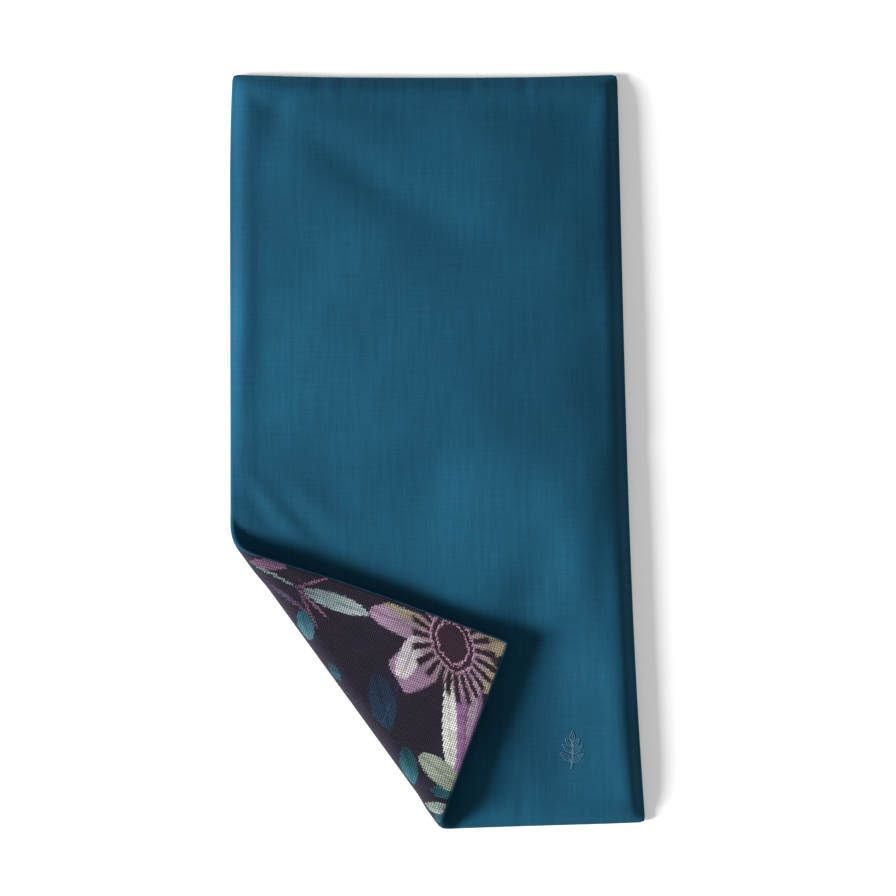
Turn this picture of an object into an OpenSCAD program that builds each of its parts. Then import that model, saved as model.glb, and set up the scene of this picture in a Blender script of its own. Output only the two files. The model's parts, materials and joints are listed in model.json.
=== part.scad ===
// Eye pillow: a bagged-out cotton and linen-look cover around a loose inner bag of flaxseed
// and lavender, with one corner turned back over the front.
// The origin is on the table under the middle of the pillow. +Y is its long way, +Z is up
// through the front. The turned corner is drawn flat first and then turned over the fold.

/* [Cover] */
// Width of the finished cover at its top end
cover_w = 119; // [100:1:140]
// Length of the finished cover
cover_l = 232; // [190:1:260]
// How much wider the cover lies at its lower end, where it has relaxed
lower_spread = 6.5; // [0:0.5:8]
// Height of the filled crown above the table
crown_h = 12; // [10:0.5:13]
// How far in from an edge the crown is reached
crown_reach = 34; // [28:1:40]
// Width of the seam allowance turned in along every edge
allowance_w = 8; // [5:0.5:10]

/* [Cloth and thread] */
// Thickness of the front cloth, a fine sateen
front_t = 0.35; // [0.3:0.05:0.4]
// Thickness of the back cloth, a coarse linen-look canvas
back_t = 0.5; // [0.4:0.05:0.6]
// Thickness of the inner bag's calico
calico_t = 0.3; // [0.2:0.05:0.4]
// Thickness of the sewing thread
thread_t = 0.25; // [0.2:0.05:0.3]

/* [Turned corner] */
// Where the fold line starts, near the left edge
fold_x = -57.1; // [-60:0.1:-54]
// Height of that start up the pillow
fold_y = -34.1; // [-40:0.1:-28]
// Direction that the fold faces, from +X
fold_angle = 36; // [32:0.5:40]
// Radius of the roll at the middle of the cloth
roll_r = 4; // [3.5:0.1:4.5]

/* [Inner bag] */
// Gap between the cover's edge and the bag's edge
bag_inset = 8.5; // [8.5:0.5:12]
// Width of the bag's flat sewn edge
bag_flange_w = 4; // [4:0.5:5]
// How far the bag stays back from the roll
bag_fold_clear = 24; // [20:1:30]
// Rows of lavender buds across the fill
buds_across = 3; // [2:1:4]
// Rows of lavender buds along the fill
buds_along = 11; // [4:1:11]

/* [Stitching] */
// Length of the turning gap, closed by hand at the top end
gap_l = 60; // [40:1:80]
// Pitch of the hand ladder stitch
hand_pitch = 3; // [2:0.5:4]
// Middle of the embroidered sprig, across the pillow
sprig_x = 41; // [38:1:44]
// Middle of the embroidered sprig, along the pillow
sprig_y = -92; // [-95:1:-88]
// Height of the embroidered sprig
sprig_h = 11; // [8:0.5:13]

/* [Hidden] */

teal = "#1e526b";
plum = "#3a3040";
calico = "#d9cfb8";
flax = "#6e4a2c";
lavender = "#6f678c";

// The flat cover: top left, top right, lower right, and the corner that gets turned back.
half_l = cover_l / 2;
edge_x = -63.5;
corners = [
    [edge_x, half_l],
    [edge_x + cover_w, half_l],
    [edge_x + cover_w + lower_spread + 2, -half_l + 1.6],
    [edge_x + 1.8, -half_l - 2.6]
];
inwards = [[1, -1], [-1, -1], [-1, 1], [1, 1]];

// The plies at a flat edge, from the table up: back, thread, both allowances, thread, front.
seam_z = back_t + thread_t + back_t;
rim_z = 2 * back_t + 2 * front_t + 2 * thread_t;
mid_z = rim_z / 2;
// Arc length of cloth in the roll, and where the turned cloth goes flat again.
roll_l = PI * roll_r;
flat_end = roll_r - roll_l;
// The fill thins out evenly towards the roll.
thin_out = 84;
crown_steps = 8;
slope = (crown_h - rim_z) / thin_out;
far = 400;
// The thinnest layer that a hull is made from.
skin = 0.01;
// Left between the cloth of the roll and the corner, which are one piece of cloth.
ply_gap = 0.05;
// Seam line, in from the bagged-out edge.
seam_in = 1.9;
// Length and spacing of the lavender buds, and how far from the fold the bag is deep enough for them.
bud_l = 5;
bud_pitch = 17;
bud_clear = 50;
// Middle of the hand-closed gap.
gap_mid = -4;

// A point measured from the fold line: how far in, and how far up along it.
function from_fold(p) =
    let (d = p - [fold_x, fold_y])
    [d * [cos(fold_angle), sin(fold_angle)], d * [-sin(fold_angle), cos(fold_angle)]];
// How far up the fold an edge of the flat cover crosses the line that lies a distance in from it.
function edge_at(i, distance) =
    let (a = from_fold(corners[i]), b = from_fold(corners[(i + 1) % 4]))
    a[1] + (b[1] - a[1]) * (distance - a[0]) / (b[0] - a[0]);

// ---- outlines ----
module cover_outline(inset) {
    polygon([for (i = [0 : 3]) corners[i] + inset * inwards[i]]);
}
module fold_frame() {
    translate([fold_x, fold_y]) rotate(fold_angle) children();
}
module fold_frame_inverse() {
    rotate(-fold_angle) translate([-fold_x, -fold_y]) children();
}
// The part of the cover on the table side of the fold, back from the roll by clear.
module lying_outline(inset, clear = 0) {
    intersection() {
        cover_outline(inset);
        fold_frame() translate([roll_r + clear, -far / 2]) square(far);
    }
}
module edge_band(outer, inner, clear = 0) {
    difference() {
        lying_outline(outer, clear);
        cover_outline(inner);
    }
}
module layer(inset, clear, z) {
    translate([0, 0, z]) linear_extrude(skin) lying_outline(inset, clear);
}

// ---- crowned shapes ----
// Distance in from the edge at which an elliptical crown reaches share t of its height.
function crown_in(t) = crown_reach * (1 - sqrt(1 - t * t));

// A crown over the cover's outline, in steps that each lean in a little more than the last:
// inset moves its edges in, drop lowers it, and past runs its even slope on beyond the roll's start.
module crown_layer(t, inset, drop) {
    layer(inset + crown_in(t), thin_out * t, rim_z + t * (crown_h - rim_z) - drop - skin);
}
module crown(inset, drop, from_z, past = 0) {
    first = -past / thin_out;
    hull() {
        layer(inset + crown_in(first), -past, from_z);
        crown_layer(first, inset, drop);
    }
    for (k = [1 : crown_steps])
        hull() {
            crown_layer(k == 1 ? first : (k - 1) / crown_steps, inset, drop);
            crown_layer(k / crown_steps, inset, drop);
        }
}

// ---- cover ----
module front_panel() color(teal) {
    difference() {
        crown(0, 0, seam_z);
        // open underneath, and towards the roll
        crown(front_t, front_t, seam_z - 1, 2);
    }
    translate([0, 0, seam_z]) linear_extrude(front_t) edge_band(front_t / 2, allowance_w, 0.2);
}

module back_pan(inset, lift, clear) {
    hull() {
        layer(inset + 1.2, clear, lift);
        layer(inset + 0.5, clear, lift + 0.4);
        layer(inset, clear, seam_z - skin + lift);
    }
}
module back_panel() color(plum) {
    difference() {
        back_pan(0, 0, 0);
        back_pan(back_t, back_t, -4);
    }
    translate([0, 0, seam_z - back_t]) linear_extrude(back_t) edge_band(0, allowance_w);
}

// Needle and bobbin thread of the machine seam, which stops at the hand-closed gap.
module seam_lines() {
    for (z = [seam_z - back_t - thread_t, seam_z + front_t])
        translate([0, 0, z]) linear_extrude(thread_t) children();
}
module cover_seam_thread() color(teal) {
    seam_lines() difference() {
        edge_band(seam_in, seam_in + thread_t);
        translate([gap_mid - gap_l / 2, half_l - 5]) square([gap_l, 10]);
    }
}

module closing_stitches() color(teal) {
    rungs = floor(gap_l / hand_pitch);
    for (i = [0 : rungs]) {
        x = gap_mid - gap_l / 2 + i * hand_pitch;
        // a rung across the gap, and the run inside the fold that leads to the next rung
        translate([x, half_l - thread_t / 2, seam_z - 0.5])
            cylinder(h = 1, d = thread_t, $fn = 16);
        if (i < rungs)
            translate([x, half_l - thread_t / 2, seam_z + (i % 2 == 0 ? 0.5 : -0.5)])
                rotate([0, 90, 0]) cylinder(h = hand_pitch, d = thread_t, $fn = 16);
    }
}

// ---- embroidery, on the even slope towards the roll ----
module on_slope() {
    translate([sprig_x, sprig_y, rim_z + (from_fold([sprig_x, sprig_y])[0] - roll_r) * slope])
        rotate(fold_angle) rotate([0, -atan(slope), 0]) rotate(-fold_angle) children();
}
module stitched_leaf(length, width) {
    linear_extrude(thread_t) intersection() {
        r = (length * length + width * width) / (4 * width);
        translate([length / 2, r - width / 2]) circle(r, $fn = 64);
        translate([length / 2, width / 2 - r]) circle(r, $fn = 64);
    }
}
module embroidered_sprig() color(teal) on_slope() {
    stem = sprig_h * 0.5;
    translate([-thread_t, -stem, 0]) cube([2 * thread_t, 2 * stem * 0.72, thread_t]);
    for (i = [0 : 2], side = [-1, 1]) {
        y = -stem * 0.55 + i * stem * 0.5;
        translate([side * 0.45, y, 0]) rotate(90 - side * 48) stitched_leaf(stem * 0.72 - i * 0.5, 1.5);
    }
    translate([0, stem * 0.52, 0]) rotate(90) stitched_leaf(stem * 0.6, 1.6);
}
module embroidery_backing() color("white") on_slope() {
    translate([-sprig_h * 0.6, -sprig_h * 0.6, -front_t - 0.2]) cube([sprig_h * 1.2, sprig_h * 1.2, 0.15]);
}

// ---- inner bag and fill ----
bag_z = 2.8;
bag_drop = front_t + 0.5;
bag_body = bag_inset + bag_flange_w;
module bag_crown(extra) {
    hull() {
        layer(bag_body + extra, bag_fold_clear + 6 + 8 * extra, bag_z);
        for (k = [4 : crown_steps]) {
            t = k / crown_steps;
            layer(max(crown_in(t), bag_body) + 1 + extra, max(thin_out * t, bag_fold_clear) + 8 + 8 * extra,
                  rim_z + t * (crown_h - rim_z) - bag_drop - extra - skin);
        }
    }
}
module bag_pan(extra) {
    hull() {
        layer(bag_body + 3 + extra, bag_fold_clear + 8 + 8 * extra, back_t + 0.1 + extra);
        layer(bag_body + extra, bag_fold_clear + 6 + 8 * extra, bag_z - skin);
    }
}
module bag_flange() {
    linear_extrude(calico_t) difference() {
        lying_outline(bag_inset, bag_fold_clear);
        lying_outline(bag_body + 0.2, bag_fold_clear + 6.2);
    }
}
module inner_bag_front() color(calico) {
    difference() {
        bag_crown(0);
        translate([0, 0, -0.1]) bag_crown(calico_t);
    }
    translate([0, 0, bag_z]) bag_flange();
}
module inner_bag_back() color(calico) {
    difference() {
        bag_pan(0);
        translate([0, 0, 0.1]) bag_pan(calico_t);
    }
    translate([0, 0, bag_z - calico_t]) bag_flange();
}
module inner_bag_seam_thread() color("ivory") {
    translate([0, 0, bag_z + calico_t]) linear_extrude(thread_t) difference() {
        lying_outline(bag_inset + 3, bag_fold_clear + 3);
        lying_outline(bag_inset + 3 + thread_t, bag_fold_clear + 3 + thread_t);
    }
}
module flaxseed_fill() color(flax) {
    play = calico_t + 0.3;
    bag_crown(play);
    bag_pan(play);
}
module lavender_buds() color(lavender) {
    for (i = [0 : buds_across - 1], j = [0 : buds_along - 1]) {
        x = -30 + i * 60 / (buds_across - 1) + 4 * sin(97 * j);
        y = bud_pitch * ((buds_along - 1) / 2 - j) + 5 * cos(71 * i + 40 * j);
        if (from_fold([x, y])[0] > bud_clear)
            translate([x, y, bag_z]) rotate([65, 0, 50 * i + 83 * j]) translate([0, 0, -bud_l / 2])
                cylinder(h = bud_l, r1 = 1, r2 = 0.6, $fn = 8);
    }
}

// ---- the roll and the turned corner ----
// Half a tube of cloth along the fold, between two distances from the middle of the cloth. Its ends
// lean, because the pillow's edges cross the roll at a slant.
module roll_ply(from_h, to_h) {
    lean_up = (edge_at(3, flat_end) - edge_at(3, roll_r)) / (2 * roll_r);
    lean_down = (edge_at(2, flat_end) - edge_at(2, roll_r)) / (2 * roll_r);
    high = 2 * (mid_z + roll_r);
    fold_frame() intersection() {
        translate([roll_r, far / 2, mid_z + roll_r]) rotate([90, 0, 0]) difference() {
            cylinder(h = far, r = roll_r + to_h, $fn = 96);
            translate([0, 0, -1]) cylinder(h = far + 2, r = roll_r + from_h, $fn = 96);
        }
        translate([roll_r, 0, 0]) rotate([90, 0, -90]) linear_extrude(far) polygon([
            [-edge_at(3, roll_r) + mid_z * lean_up, 0],
            [-edge_at(2, roll_r) + mid_z * lean_down, 0],
            [-edge_at(2, roll_r) + (mid_z - high) * lean_down, high],
            [-edge_at(3, roll_r) + (mid_z - high) * lean_up, high]
        ]);
    }
}
module front_panel_fold() color(teal) roll_ply(-mid_z, front_t - mid_z);
module back_panel_fold() color(plum) roll_ply(mid_z - back_t, mid_z);

// Puts what is drawn flat, as part of the unfolded corner, where it lies once turned back.
module turned_back() {
    fold_frame() translate([(roll_r + flat_end) / 2, 0, mid_z + roll_r]) rotate([0, 180, 0])
        translate([-(roll_r + flat_end) / 2, 0, -mid_z - roll_r]) fold_frame_inverse() children();
}
module corner_outline(inset) {
    intersection() {
        cover_outline(inset);
        fold_frame() translate([flat_end - far - ply_gap, -far / 2]) square(far);
    }
}
module corner_band(outer, inner) {
    difference() {
        corner_outline(outer);
        cover_outline(inner);
    }
}
// One ply of the corner, its wall at the seam and its allowance turned in.
module corner_ply(ply_z, allowance_z, thick) {
    low = min(ply_z, allowance_z);
    translate([0, 0, ply_z]) linear_extrude(thick) corner_outline(0);
    translate([0, 0, allowance_z]) linear_extrude(thick) corner_band(0, allowance_w);
    translate([0, 0, low]) linear_extrude(abs(ply_z - allowance_z) + thick) corner_band(0, thick);
}
module front_panel_corner() color(teal) turned_back() corner_ply(rim_z - front_t, seam_z, front_t);
module back_panel_corner() color(plum) turned_back() corner_ply(0, seam_z - back_t, back_t);
module corner_seam_thread() color(teal) turned_back() seam_lines() corner_band(seam_in, seam_in + thread_t);

front_panel();
back_panel();
cover_seam_thread();
closing_stitches();
embroidered_sprig();
embroidery_backing();
inner_bag_front();
inner_bag_back();
inner_bag_seam_thread();
flaxseed_fill();
lavender_buds();
front_panel_fold();
back_panel_fold();
front_panel_corner();
back_panel_corner();
corner_seam_thread();
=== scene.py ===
import json
from math import cos, pi, radians, sin, tau

import bmesh
import bpy
import numpy as np
from mathutils import Matrix, Vector


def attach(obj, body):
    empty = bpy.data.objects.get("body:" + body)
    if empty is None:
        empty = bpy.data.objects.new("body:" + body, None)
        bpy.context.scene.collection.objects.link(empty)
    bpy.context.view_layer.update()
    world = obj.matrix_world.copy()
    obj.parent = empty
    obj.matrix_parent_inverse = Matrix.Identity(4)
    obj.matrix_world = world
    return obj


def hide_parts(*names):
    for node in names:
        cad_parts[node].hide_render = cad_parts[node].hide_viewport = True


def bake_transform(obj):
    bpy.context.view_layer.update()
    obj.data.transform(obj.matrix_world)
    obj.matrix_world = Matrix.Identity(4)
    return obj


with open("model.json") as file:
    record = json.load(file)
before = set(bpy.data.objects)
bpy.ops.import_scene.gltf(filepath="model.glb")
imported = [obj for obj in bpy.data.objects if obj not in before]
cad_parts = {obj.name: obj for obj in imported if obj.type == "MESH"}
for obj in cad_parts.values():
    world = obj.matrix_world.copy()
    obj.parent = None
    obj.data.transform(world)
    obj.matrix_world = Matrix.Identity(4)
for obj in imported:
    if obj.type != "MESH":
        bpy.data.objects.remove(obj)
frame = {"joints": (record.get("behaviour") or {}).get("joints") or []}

# An eye pillow lying flat with one corner turned back over its front. Shapes are worked out in
# millimetres on the flat cover, then laid over the fold, and turned to metres as they become meshes.
MM = 0.001
scene = bpy.context.scene
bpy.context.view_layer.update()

# ---------------------------------------------------------------- camera, straight above
camera = bpy.data.objects.new("camera", bpy.data.cameras.new("camera"))
camera.data.lens = 97.3
camera.data.sensor_width = 36
camera.location = (0.0031, 0.0014, 0.75)
scene.collection.objects.link(camera)
scene.camera = camera

# ---------------------------------------------------------------- the fold, from the two hinges
hinges = {j["name"]: j for j in frame["joints"]}
# From how the hinges are set in from the roll come its radius, the height of the cloth's middle where
# it lies flat, and a point of the fold line, which is the outermost line of the roll.
low_hinge = np.array(hinges["roll_unfold"]["pos_m"]) / MM
high_hinge = np.array(hinges["corner_unfold"]["pos_m"]) / MM
axis = np.array(hinges["roll_unfold"]["axis"])
inward = np.array([-axis[1], axis[0]])
along = -axis[:2]
roll_r = (high_hinge[2] - low_hinge[2]) * 2 / pi
mid_z = low_hinge[2] - roll_r * (1 - pi / 4)
fold_at = low_hinge[:2] - roll_r * (1 - pi / 4) * inward
half_turn = pi * roll_r
split_at = roll_r - half_turn / 2
# the turned corner is drawn out slightly, and curls up towards its tip
DRAWN_OUT = 1.02
TIP_CURL = 2.0


def smooth(x):
    """Eased 0 to 1."""
    x = np.clip(x, 0, 1)
    return x * x * (3 - 2 * x)


def in_from_fold(x, y):
    """Distance in from the fold line, across the flat cover."""
    return (x - fold_at[0]) * inward[0] + (y - fold_at[1]) * inward[1]


def fold_over(p):
    """Points of the flat cover, laid over the roll and back onto the pillow."""
    p = np.array(p, float).reshape(-1, 3)
    n = in_from_fold(p[:, 0], p[:, 1])
    up = (p[:, 0] - fold_at[0]) * along[0] + (p[:, 1] - fold_at[1]) * along[1]
    s, h = roll_r - n, p[:, 2] - mid_z
    turn = np.clip(s / roll_r, 0, pi)
    past = np.maximum(s - half_turn, 0) * DRAWN_OUT
    # the further from the fold, the more it curls, with a slight wave along the fold
    curl = TIP_CURL * smooth((past - 12) / 46) ** 1.5 + 0.25 * np.sin(up / 11) * smooth(past / 20)
    folded_n = roll_r - (roll_r - h) * np.sin(turn) + past
    folded_z = mid_z + roll_r - (roll_r - h) * np.cos(turn) + curl
    turned = s > 0
    n = np.where(turned, folded_n, n)
    z = np.where(turned, folded_z, p[:, 2])
    return np.stack([fold_at[0] + n * inward[0] + up * along[0],
                     fold_at[1] + n * inward[1] + up * along[1], z], axis=1)


# ---------------------------------------------------------------- outline of the flat cover
WIDTH, LENGTH = 119, 232


def left_x(v):
    return -64.2 + 0.7 * np.clip((v - 0.85) / 0.15, 0, 1) ** 2 + 2.3 * np.clip(1 - v / 0.25, 0, 1) ** 1.5


def right_x(v):
    return 55.4 + 5.5 * (1 - v) + 3.2 * (1 - v) ** 4


def top_y(u):
    return 115.7 + 1.1 * np.abs(2 * u - 1) ** 3


def bottom_y(u):
    return -118.6 + 4.3 * u


def across_and_up(x, y):
    """Fractions across and up the flat cover."""
    v = (y + LENGTH / 2) / LENGTH
    u = (x - left_x(v)) / (right_x(v) - left_x(v))
    v = (y - bottom_y(u)) / (top_y(u) - bottom_y(u))
    u = (x - left_x(v)) / (right_x(v) - left_x(v))
    return np.clip(u, 0, 1), np.clip(v, 0, 1)


# ---------------------------------------------------------------- the filled shape
FILL_COLS, FILL_ROWS = 36, 70


def blown_up():
    """How far two sheets sewn at their edges stand off each other when they are filled: a cloth
    simulation, ten times life size, read back as a grid of heights from 0 to 1."""
    bm = bmesh.new()
    bmesh.ops.create_grid(bm, x_segments=FILL_COLS, y_segments=FILL_ROWS, size=1)
    rim = {v for e in bm.edges if e.is_boundary for v in e.verts}
    for v in bm.verts:
        v.co = (v.co.x * 0.6, v.co.y * 1.16, 0 if v in rim else 0.01)
    under = bmesh.ops.duplicate(bm, geom=bm.verts[:] + bm.edges[:] + bm.faces[:])["geom"]
    for v in under:
        if isinstance(v, bmesh.types.BMVert):
            v.co.z *= -1
    bmesh.ops.reverse_faces(bm, faces=[f for f in under if isinstance(f, bmesh.types.BMFace)])
    bmesh.ops.remove_doubles(bm, verts=bm.verts, dist=1e-4)
    mesh = bpy.data.meshes.new("filled")
    bm.to_mesh(mesh)
    bm.free()
    trial = bpy.data.objects.new("filled", mesh)
    scene.collection.objects.link(trial)
    cloth = trial.modifiers.new("Cloth", "CLOTH")
    cloth.settings.quality = 6
    cloth.settings.mass = 0.3
    cloth.settings.tension_stiffness = 25
    cloth.settings.compression_stiffness = 25
    cloth.settings.bending_stiffness = 4
    cloth.settings.use_pressure = True
    cloth.settings.uniform_pressure_force = 3
    cloth.settings.effector_weights.gravity = 0
    cloth.point_cache.frame_end = 24
    for f in range(1, 25):
        scene.frame_set(f)
    shape = trial.evaluated_get(bpy.context.evaluated_depsgraph_get()).data
    heights = np.zeros((FILL_COLS + 1, FILL_ROWS + 1))
    for before, after in zip(mesh.vertices, shape.vertices):
        if before.co.z > 0:
            a = round((before.co.x / 0.6 + 1) / 2 * FILL_COLS)
            b = round((before.co.y / 1.16 + 1) / 2 * FILL_ROWS)
            heights[a, b] = after.co.z
    scene.frame_set(1)
    bpy.data.objects.remove(trial)
    # loose seed settles flatter than a blown-up bag
    level = np.clip(heights / np.percentile(heights, 78), 0, 1)
    return (1 - (1 - level) ** 2) ** 0.6


filled = blown_up()


def smooth_value(grid, u, v):
    """A grid's value at fractions across and up it, through a cubic B-spline."""
    def taps(t, count):
        at = np.clip(t, 0, 1) * (count - 1)
        k = np.minimum(at.astype(int), count - 2)
        f = at - k
        weights = [(1 - f) ** 3 / 6, (3 * f ** 3 - 6 * f ** 2 + 4) / 6,
                   (-3 * f ** 3 + 3 * f ** 2 + 3 * f + 1) / 6, f ** 3 / 6]
        return [(np.clip(k + d, 0, count - 1), w) for d, w in zip((-1, 0, 1, 2), weights)]
    return sum(grid[a, b] * wa * wb
               for a, wa in taps(u, grid.shape[0]) for b, wb in taps(v, grid.shape[1]))


# Height of the crown of seed, and the least height of the front over the bag and the back.
CROWN = 8.2
LEAST = 2.3
# Soft rises and hollows of the seed under the front: centre, direction in degrees, half length,
# half width and height.
RELIEF = [
    (20, 97, 20, 22, 15, 0.6), (-26, -16, 60, 24, 14, 0.6), (-4, -50, 30, 22, 12, 0.5),
    (51, -12, 84, 32, 12, 1.2), (-1, -10, 70, 22, 12, -1.1), (54, -98, 88, 18, 8, 0.5),
    (8, 30, 60, 40, 22, 0.4), (38, 88, 80, 20, 8, -0.4), (54, 66, 88, 34, 9, 0.8),
    (-27, 89, -36, 30, 8, -1.3), (-49.5, 104, 88, 14, 5, -0.9), (30, 55, 80, 34, 12, -0.4),
    (0, 72, -30, 26, 9, -0.6), (32, -84, 74, 46, 17, -3.0), (29, -44, 65, 20, 9, -1.6),
    (-20, 8, 30, 24, 10, -0.35), (50, 108, 85, 9, 5, -0.5),
]
# Folds that run from the upper end of the roll, where it pulls on the front.
DRAWN = [(-54, -19, -52, 12, 2.6, -0.35), (-49.5, -17, -48, 15, 3.2, 0.8), (-44, -20, -40, 13, 3, -0.5),
         (-38, -16, -42, 15, 4, 0.5)]
# Puckers along the hand-closed top seam, and one small crease at the bottom edge.
PUCKERS = [(-36, 113, 1.6, 4.5, 0.35), (-29, 113.5, 1.4, 4, 0.3), (10, 113.5, 1.5, 4.5, 0.35),
           (27, 113.5, 1.6, 4, 0.3), (26, -111, 1.1, 5, 0.35)]
# How round the front's cloth is where it turns under at the edge.
EDGE_R = 0.85


def edge_distances(x, y):
    """Fractions across and up, then the distances in from the left, right, bottom and top edges."""
    u, v = across_and_up(x, y)
    return (u, v, x - left_x(v), right_x(v) - x, y - bottom_y(u), top_y(u) - y)


def soft_least(values, k=1.2):
    """The least of several distances, eased where two are alike."""
    values = np.stack([np.broadcast_to(a, np.shape(values[0])) for a in values])
    least = values.min(axis=0)
    return least - np.log(np.exp(-(values - least) / k).sum(axis=0)) * k


def seam_height(x, y):
    """Middle of the seam above the table: it rides up where the pillow is full."""
    u, v = across_and_up(x, y)
    full = smooth((in_from_fold(x, y) - 12) / 55)
    corners = 1 - 0.55 * smooth(1 - np.minimum(u, 1 - u) / 0.12) * smooth(1 - np.minimum(v, 1 - v) / 0.07)
    return mid_z + 1.5 * full * corners


def front_top(x, y):
    """Height of the front's outer face above the table."""
    x, y = np.asarray(x, float), np.asarray(y, float)
    u, v, left, right, bottom, top = edge_distances(x, y)
    edge = np.maximum(soft_least([left, right, bottom, top], 0.6), 0)
    n = in_from_fold(x, y)
    thinning = np.clip((n - roll_r) / 84, 0, 1.3) ** 1.3
    # the seed has settled a little fuller towards the right
    fuller = np.where(u > 0.5, 0.5 + 0.5 * np.maximum(2 * u - 1, 0) ** 1.45, u)
    full = smooth_value(filled, fuller, v)
    # the lesser of the two, eased where they are alike
    k = 0.12
    both = np.clip(0.5 + (thinning - full) / (2 * k), 0, 1)
    crown = full * both + thinning * (1 - both) - k * both * (1 - both)
    crown = np.maximum(crown, 0) * smooth(edge / 3)
    lying = smooth((n - 10) / 30)
    side = smooth((60 - left) / 20)
    ridge = (0.32 + 0.2 * lying * side) * (1 - smooth((edge - 4.5) / 5))
    z = mid_z + 0.45 + ridge + (seam_height(x, y) - mid_z) * (1 - smooth(edge / 12)) + CROWN * crown
    inside = smooth((edge - 2) / 10) * lying
    for rises, where in ((RELIEF, inside), (DRAWN, smooth((edge - 1) / 4))):
        for cx, cy, turn, long, wide, rise in rises:
            c, s = cos(radians(turn)), sin(radians(turn))
            a = ((x - cx) * c + (y - cy) * s) / long
            b = (-(x - cx) * s + (y - cy) * c) / wide
            z = z + rise * np.exp(-(a * a + b * b) * 1.4) * where
    z = z + 0.16 * np.sin(x / 7.5 + np.sin(y / 17) * 1.4) * np.sin(y / 12.5 + 0.8 * np.sin(x / 14)) * inside
    # even where it is sunk, the front rests on the bag and the back
    rests = LEAST + 0.4 * np.log1p(np.exp((z - LEAST) / 0.4))
    z = z + (rests - z) * smooth((n - 20) / 12) * smooth((edge - 2) / 6)
    for cx, cy, wide, long, depth in PUCKERS:
        z = z - depth * np.exp(-((x - cx) / wide) ** 2 - ((y - cy) / long) ** 2)
    # the seam draws the cloth in very slightly, here more and there less
    return z - 0.05 * np.sin(x * 0.9 + 2 * np.sin(y * 0.21)) * np.sin(y * 0.8) * (1 - smooth(edge / 9))


def back_under(x, y):
    """Height of the back's outer face above the table, which it mostly lies on."""
    x, y = np.asarray(x, float), np.asarray(y, float)
    edge = np.maximum(soft_least(edge_distances(x, y)[2:], 0.6), 0)
    n = in_from_fold(x, y)
    lifted = (seam_height(x, y) - mid_z) * (1 - smooth(edge / 9))
    into_roll = 0.5 * smooth((roll_r + 9 - n) / 9) * smooth((edge - 5.5) / 5)
    return lifted + into_roll


# ---------------------------------------------------------------- meshes
def mesh_object(name, bm):
    mesh = bpy.data.meshes.new(name)
    bm.to_mesh(mesh)
    bm.free()
    mesh.polygons.foreach_set("use_smooth", [True] * len(mesh.polygons))
    obj = bpy.data.objects.new(name, mesh)
    scene.collection.objects.link(obj)
    return obj


def place(bm, points):
    """Puts a bmesh's vertices at points in millimetres."""
    for v, p in zip(bm.verts, points):
        v.co = Vector(p) * MM


def rows_from_edge(edge_insets, span, pitch):
    """Rows of a sheet from one edge to the other: fraction between the two edge bands, inset from
    the near edge, inset from the far edge, and which row of the edge band it is, or -1."""
    count = int(round(span / pitch))
    deep = edge_insets[-1]
    rows = [(0, inset, deep, k) for k, inset in enumerate(edge_insets[:-1])]
    rows += [(f, deep, deep, -1) for f in np.linspace(0, 1, count + 1)]
    return rows + [(1, deep, inset, k) for k, inset in reversed(list(enumerate(edge_insets[:-1])))]


def round_corner(x, y, near_x, near_y, toward_x, toward_y, radius=2.0):
    """Rounds a square corner, for points within radius of both its edges."""
    a = np.clip(radius - near_x, 0, radius)
    b = np.clip(radius - near_y, 0, radius)
    return (x + toward_x * (a * np.sqrt(1 - b * b / (2 * radius ** 2)) - a),
            y + toward_y * (b * np.sqrt(1 - a * a / (2 * radius ** 2)) - b))


def cover_cloth(face, bands, drops, pitch):
    """One panel's outer face on the flat cover, in millimetres, cut along the lines of the roll.
    bands are the insets of its edge rows, and drops how far each lies from the face's height."""
    cols = rows_from_edge(bands, WIDTH, pitch)
    rows = rows_from_edge(bands, LENGTH, pitch)
    bm = bmesh.new()
    bmesh.ops.create_grid(bm, x_segments=len(cols) - 1, y_segments=len(rows) - 1, size=1)
    at = np.array([v.co[:2] for v in bm.verts])
    i = np.round((at[:, 0] + 1) / 2 * (len(cols) - 1)).astype(int)
    j = np.round((at[:, 1] + 1) / 2 * (len(rows) - 1)).astype(int)
    cf, ca, cb, ck = np.array(cols).T[:, i]
    rf, ra, rb, rk = np.array(rows).T[:, j]
    u, v = cf.copy(), rf.copy()
    for _ in range(3):
        x = (left_x(v) + ca) * (1 - cf) + (right_x(v) - cb) * cf
        y = (bottom_y(u) + ra) * (1 - rf) + (top_y(u) - rb) * rf
        u, v = across_and_up(x, y)
    by_col, by_row = (np.where(k >= 0, np.array(drops)[k.astype(int)], 0) for k in (ck, rk))
    if face > 0:
        z = front_top(x, y) + np.minimum(by_col, by_row)
    else:
        z = back_under(x, y) + np.maximum(by_col, by_row)
    near = [(x - left_x(v), -1), (right_x(v) - x, 1)]
    tall = [(y - bottom_y(u), -1), (top_y(u) - y, 1)]
    for dx, sx in near:
        for dy, sy in tall:
            x, y = round_corner(x, y, np.maximum(dx, 0), np.maximum(dy, 0), sx, sy)
    for vert, p in zip(bm.verts, zip(x, y, z)):
        vert.co = p
    # cuts across the roll, and one in the flat cloth on either side of it
    lines = [roll_r - half_turn * k / 16 for k in range(17)] + [roll_r + 3, roll_r - half_turn - 3]
    for n in lines:
        at = fold_at + n * inward
        bmesh.ops.bisect_plane(bm, geom=bm.verts[:] + bm.edges[:] + bm.faces[:], dist=0.02,
                               plane_co=(*at, 0), plane_no=(*inward, 0))
    if face < 0:
        bmesh.ops.reverse_faces(bm, faces=bm.faces)
    return bm


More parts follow.
